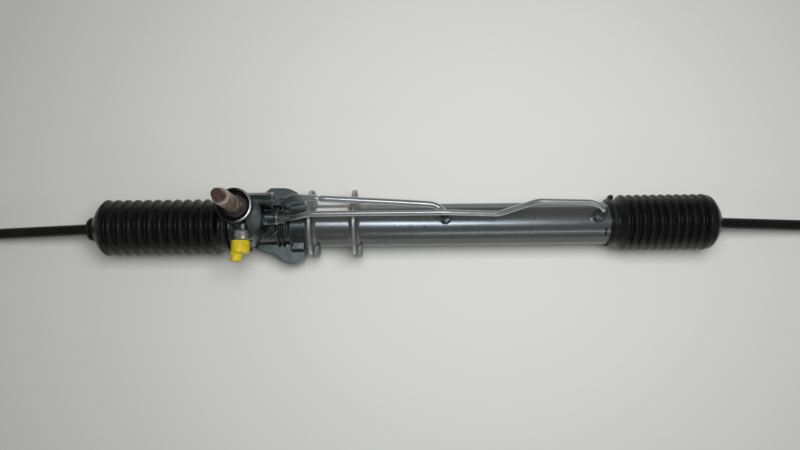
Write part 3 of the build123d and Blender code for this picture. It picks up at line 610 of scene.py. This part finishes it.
def bellows(side):
    """The folded wall of a boot, from the cuff to the last crest."""
    sign = SIGN[side]
    pitch = abs(LAST_CREST[side] - FIRST_CREST[side]) / (CRESTS[side] - 1)
    start = CUFF_EDGE[side]
    first = sign * (FIRST_CREST[side] - start)
    cuff_end = sign * (CUFF_END[side] - start)
    line = [
        (0, CUFF_BORE), (0, CUFF_RADIUS + CUFF_LIP), (2.6, CUFF_RADIUS + CUFF_LIP), (3.0, CUFF_RADIUS - 0.2),
        (cuff_end - 0.8, CUFF_RADIUS - 0.2), (cuff_end + 1.0, ROOT_RADIUS),
    ]
    half_crest = pitch * 0.22
    for crest in range(CRESTS[side]):
        middle = first + crest * pitch
        if crest:
            line.append((middle - pitch / 2, ROOT_RADIUS))
        line.append((middle - half_crest, CREST_RADIUS - 1.0))
        line.append((middle, CREST_RADIUS + 0.4))
        line.append((middle + half_crest, CREST_RADIUS - 1.0))
    line[-1] = (middle + DOME[side][0][0], DOME[side][0][1])
    outside = rounded(line, 2.4, 5)
    past_lip = 16
    inside = [(distance, radius - BOOT_WALL) for distance, radius in reversed(outside[past_lip:])]
    piece = lathe(
        f"{side}_boot_bellows", outside + inside, (start, 0, 0), (sign, 0, 0),
        FINISHES["boot_rubber"], BOOT_STEPS, 60,
    )
    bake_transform(piece)
    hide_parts(f"{side}_boot")


def dome(side, name, points):
    """One of the two parts of a boot's domed end."""
    sign = SIGN[side]
    inside = [
        (distance - BOOT_WALL * 0.8, max(radius - BOOT_WALL * 0.6, ROD_BORE))
        for distance, radius in reversed(points)
    ]
    inside[-1] = (points[0][0], points[0][1] - BOOT_WALL)
    inside[0] = (points[-1][0] - BOOT_WALL, points[-1][1])
    origin = LAST_CREST[side]
    piece = lathe(
        f"{side}_boot_{name}", points + inside, (origin, 0, 0), (sign, 0, 0),
        FINISHES["boot_rubber"], BOOT_STEPS, 60,
    )
    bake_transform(piece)
    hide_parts(f"{side}_boot")


def boot_neck(side):
    """Collar that grips the tie rod."""
    piece = lathe(
        f"{side}_boot_neck", NECK, (BALL_X[side], 0, 0), rod_direction(side),
        FINISHES["boot_rubber"], 96, 35,
    )
    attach(piece, f"{side}_rod")
    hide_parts(f"{side}_boot")


for side in ("left", "right"):
    bellows(side)
    run = smooth_run(DOME[side], DOME_STEPS)
    split = DOME_SPLIT * DOME_STEPS
    dome(side, "shoulder", run[:split + 1])
    dome(side, "dome", run[split:])
    boot_neck(side)

# ------------------------------------------------------------------ turn lines
PORT_HEIGHT = 40
TUBE_RADIUS = 24.0
# Where each union leaves the tube along X, and its lean towards +X in degrees
UNIONS = {1: (126.4, -8.0), 2: (297.0, 0.0)}
UNION_TILT = math.radians(10.0)
PINCH_AT, PINCH_WIDTH, PINCH_DEPTH = 52.3, 1.1, 0.4


def union_axis(number):
    """Origin on the rack axis and direction of a cylinder port."""
    x, lean = UNIONS[number]
    lean = math.radians(lean)
    direction = Vector((
        math.sin(lean), math.sin(UNION_TILT) * math.cos(lean), math.cos(UNION_TILT) * math.cos(lean),
    ))
    return Vector((x - TUBE_RADIUS * math.tan(lean), 0, 0)), direction.normalized()


def on_union(number, height):
    origin, direction = union_axis(number)
    return tuple(origin + direction * height)


def pinched(length):
    """The first line is pinched a little where it bends over the tube."""
    return 1 - PINCH_DEPTH * math.exp(-((length - PINCH_AT) / PINCH_WIDTH) ** 2)


def even(length):
    return 1


# Radius, corners of the route and the bend's radius at each inner corner
LINES = {
    1: (3.6, [
        (-63, 22.0, PORT_HEIGHT), (-51, 22.2, PORT_HEIGHT), (-38, 25.6, 43.6), (-13, 23.3, 48.0),
        (70, 18.0, 49), (112, 15.0, 50.0), on_union(1, 52.5), on_union(1, 33.3),
    ], [14, 24, 22, 60, 22, 8.2], pinched),
    2: (2.95, [
        (-58, 3.3, PORT_HEIGHT), (-41.5, 3.2, PORT_HEIGHT), (-22, 6.0, 50), (60, 5.6, 54.0), (127, 4.8, 58.8),
        (182, 3.4, 55.0), (225, 17.5, 49.5), (282, 15.6, 51.0), on_union(2, 52), on_union(2, 33.3),
    ], [13, 13, 60, 60, 22, 22, 18, 8.5], even),
}
line_material = line_finish()
for number, (radius, points, bends, shape) in LINES.items():
    piece = swept(
        f"turn_line_{number}_bar", arc_route(points, bends), radius, line_material, shape,
    )
    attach(piece, "housing")
    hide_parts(f"turn_line_{number}")

# ------------------------------------------------------------------ housing casting
PINION = Vector((-101.0, 15.0))
TOWER_TOP = 60.0
RIM_BAND, RIM_FROM, RIM_SLOPE = 1.6, 16.4, 0.24
SHOULDER_LOW, SHOULDER_HIGH, SHOULDER_END = 45.5, 50.5, -92
SHOULDER_FROM, SHOULDER_REACH, SHOULDER_SLOPE = 18.4, 40.0, 0.35


def sculpted(x, y, z):
    """The tower's rim falls away outwards; the shoulder slopes from the tower down to the ports."""
    away = (Vector((x, y)) - PINION).length
    if z > TOWER_TOP - RIM_BAND and away > RIM_FROM:
        z -= (away - RIM_FROM) * RIM_SLOPE
    if SHOULDER_LOW < z < SHOULDER_HIGH and away > SHOULDER_FROM and x > SHOULDER_END:
        z += max(0.0, SHOULDER_REACH - away) * SHOULDER_SLOPE * min(1.0, (z - SHOULDER_LOW) / 3.0)
    return z


casting = copy_node("pinion_housing", "housing_casting", FINISHES["cast_iron"])
soften(casting, 0.6, 7)
for vertex in casting.data.vertices:
    x, y, z = (value / MM for value in vertex.co)
    vertex.co.z = sculpted(x, y, z) * MM
casting.data.shade_smooth()
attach(casting, "housing")
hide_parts("pinion_housing")

# ------------------------------------------------------------------ seat flanges
FLANGE_OFFSET = 3.0
FLANGE_THICKNESS = 5.0
FLANGE_RADIUS = 37.9
FLANGE_BORE = 24.1
ROOT_REACH = 5.2
ROOT_HEIGHT = 4.6
FOOT_LOW, FOOT_HIGH = -13.8, 6.8
FOOT_WIDTH, FOOT_REACH = 10.4, 35.4


def root_radius(distance):
    """Radius of the flange's hollow root at a distance from the flange's face."""
    rise = 1 - math.sqrt(max(0.0, 1 - (1 - distance / ROOT_REACH) ** 2))
    return FLANGE_BORE + 0.05 + ROOT_HEIGHT * rise


for side, start in (("left", -27.0), ("right", 22.0)):
    finish = FINISHES["flange_zinc"]
    plate = rounded([
        (0, FLANGE_BORE), (0, FLANGE_RADIUS), (FLANGE_THICKNESS, FLANGE_RADIUS), (FLANGE_THICKNESS, FLANGE_BORE),
    ], 1.6, 6)
    disc = lathe("disc", plate, (start, FLANGE_OFFSET, 0), (1, 0, 0), finish, 160)
    steps = [ROOT_REACH * index / 12 for index in range(13)]
    hollow = [(-distance, root_radius(distance)) for distance in reversed(steps)]
    hollow += [(FLANGE_THICKNESS + distance, root_radius(distance)) for distance in steps]
    hollow += [(FLANGE_THICKNESS + ROOT_REACH, FLANGE_BORE), (-ROOT_REACH, FLANGE_BORE)]
    root = lathe("root", hollow, (start, 0, 0), (1, 0, 0), finish, 160)
    foot_line = rounded([(0, 20), (0, FOOT_REACH), (FOOT_WIDTH, FOOT_REACH), (FOOT_WIDTH, 20)], 3.6, 6)
    foot_points = [(start + x + 0.1, -y, z) for z in (FOOT_LOW, FOOT_HIGH) for x, y in foot_line]
    count = len(foot_line)
    foot_faces = [tuple(range(count)), tuple(reversed(range(count, 2 * count)))]
    foot_faces += [(n, n + count, (n + 1) % count + count, (n + 1) % count) for n in range(count)]
    foot = mesh_piece("foot", foot_points, foot_faces, finish)
    flange = fuse(f"seat_flange_{side}_body", [disc, root, foot], 0.55, 6)
    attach(flange, "housing")
    # The rim band is a lighter copy of the flange zinc: a painted highlight along the flange's rim
    band = lathe(
        f"seat_flange_{side}_rim", rounded([(0, 36.8), (0, 37.98), (3.0, 37.98), (3.0, 36.8)], 0.35),
        (start + 1.0, FLANGE_OFFSET, 0), (1, 0, 0), FINISHES["rim_highlight_zinc"], 160,
    )
    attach(band, "housing")
    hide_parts(f"seat_flange_{side}")

# ------------------------------------------------------------------ feed plug
FEED_X, FEED_Z = -95.5, 36.0
CAP_RADIUS, CAP_LENGTH, CAP_GROOVE = 10.1, 14.6, 0.4
STUB_RADIUS, STUB_LENGTH = 6.6, 11.6
SPIGOT_RADIUS, SPIGOT_LENGTH = 5.8, 12

cap_line = [
    (0, 0), (0, CAP_RADIUS), (2.6, CAP_RADIUS), (3.0, CAP_RADIUS - CAP_GROOVE), (3.4, CAP_RADIUS),
    (CAP_LENGTH, CAP_RADIUS), (CAP_LENGTH, 0),
]
stub_line = [(0, 0), (0, STUB_RADIUS), (STUB_LENGTH, STUB_RADIUS), (STUB_LENGTH, 0)]
spigot_line = [(0, 0), (0, SPIGOT_RADIUS), (SPIGOT_LENGTH, SPIGOT_RADIUS), (SPIGOT_LENGTH, 0)]
plug_parts = []
for name, line, place, steps in (
    ("cap", rounded(cap_line, 3.0, 6), (FEED_X - 2.8, -20.35, FEED_Z), 72),
    ("stub", rounded(stub_line, 1.8, 6), (FEED_X - 6.9, -31.9, FEED_Z + 1), 60),
    ("spigot", spigot_line, (FEED_X, -10.2, FEED_Z), 48),
):
    plug_parts.append(
        lathe(name, line, place, (0, -1, 0), FINISHES["yellow_plastic"], steps)
    )
plug = fuse("feed_plug", plug_parts, 0.45, 9)
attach(plug, "housing")
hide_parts("feed_port_plug")

# ------------------------------------------------------------------ feed boss, port lips and tower edge
boss_line = [
    (0, 8.4), (0, 9.2), (2.4, 9.7), (4.6, 10.0), (5.6, 9.2), (6.2, 8.9), (9.6, 8.9), (10.2, 8.3), (10.2, 6.2),
    (0, 6.2),
]
boss = lathe(
    "feed_boss_sleeve", rounded(boss_line, 0.9),
    (FEED_X, -9.8, FEED_Z), (0, -1, 0), FINISHES["machined_iron"], 96,
)
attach(boss, "housing")
# Port lips and ring in a lighter steel: painted highlight lines at the ports' ends
for name, start, width, radius, y in (
    ("port_lip_1", -64.6, 2.9, 9.75, 22.0),
    ("port_lip_2", -58.8, 1.7, 7.95, 3.7),
    ("port_ring_2", -70.4, 1.4, 8.0, 3.7),
):
    lip = lathe(
        name, rounded([(0, radius - 1.2), (0, radius), (width, radius), (width, radius - 1.2)], 0.5),
        (start, y, PORT_HEIGHT), (1, 0, 0), FINISHES["lip_highlight_steel"], 72,
    )
    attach(lip, "housing")

edge = lathe(
    "tower_edge", rounded([(57.5, 17.0), (59.95, 17.0), (59.45, 18.95), (57.5, 18.95)], 0.35),
    (PINION.x, PINION.y, 0), (0, 0, 1), edge_finish(), 128,
)
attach(edge, "housing")

# ------------------------------------------------------------------ boot clamps
BAND_WIDTH, BAND_LOW, BAND_HIGH = 3.2, 25.9, 26.9
BEAD_LENGTH, BEAD_RADIUS = 8, 3.2
BEAD_Y, BEAD_Z, BEAD_SHIFT = 29.1, -4, 2.4

for side, middle in (("left", -122.0), ("right", 316.5)):
    band = lathe(
        "band", rounded([(0, BAND_LOW), (0, BAND_HIGH), (BAND_WIDTH, BAND_HIGH), (BAND_WIDTH, BAND_LOW)], 0.4),
        (middle - BAND_WIDTH / 2, 0, 0), (1, 0, 0), FINISHES["clamp_steel"], 128,
    )
    bead = lathe(
        "bead", rounded([(0, 0), (0, BEAD_RADIUS), (BEAD_LENGTH, BEAD_RADIUS), (BEAD_LENGTH, 0)], 1.5, 5),
        (middle + SIGN[side] * BEAD_SHIFT, BEAD_Y, BEAD_Z), (0, 0, 1), FINISHES["clamp_steel"], 40,
    )
    clamp = fuse(f"{side}_clamp", [band, bead], 0.4, 4)
    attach(clamp, "housing")
    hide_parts(f"{side}_boot_clamp")

# ------------------------------------------------------------------ nut collars on the cylinder's unions
COLLAR_WIDTH = 1.6
COLLARS = ((40.35, 5.5), (42.3, 4.7))

for number, bore in ((1, 3.75), (2, 3.1)):
    origin, direction = union_axis(number)
    for index, (height, radius) in enumerate(COLLARS, 1):
        collar = lathe(
            f"union_{number}_collar_{index}",
            rounded([(0, bore), (0, radius), (COLLAR_WIDTH, radius), (COLLAR_WIDTH, bore)], 0.5),
            tuple(origin + direction * height), tuple(direction), FINISHES["dark_steel"], 48,
        )
        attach(collar, "housing")
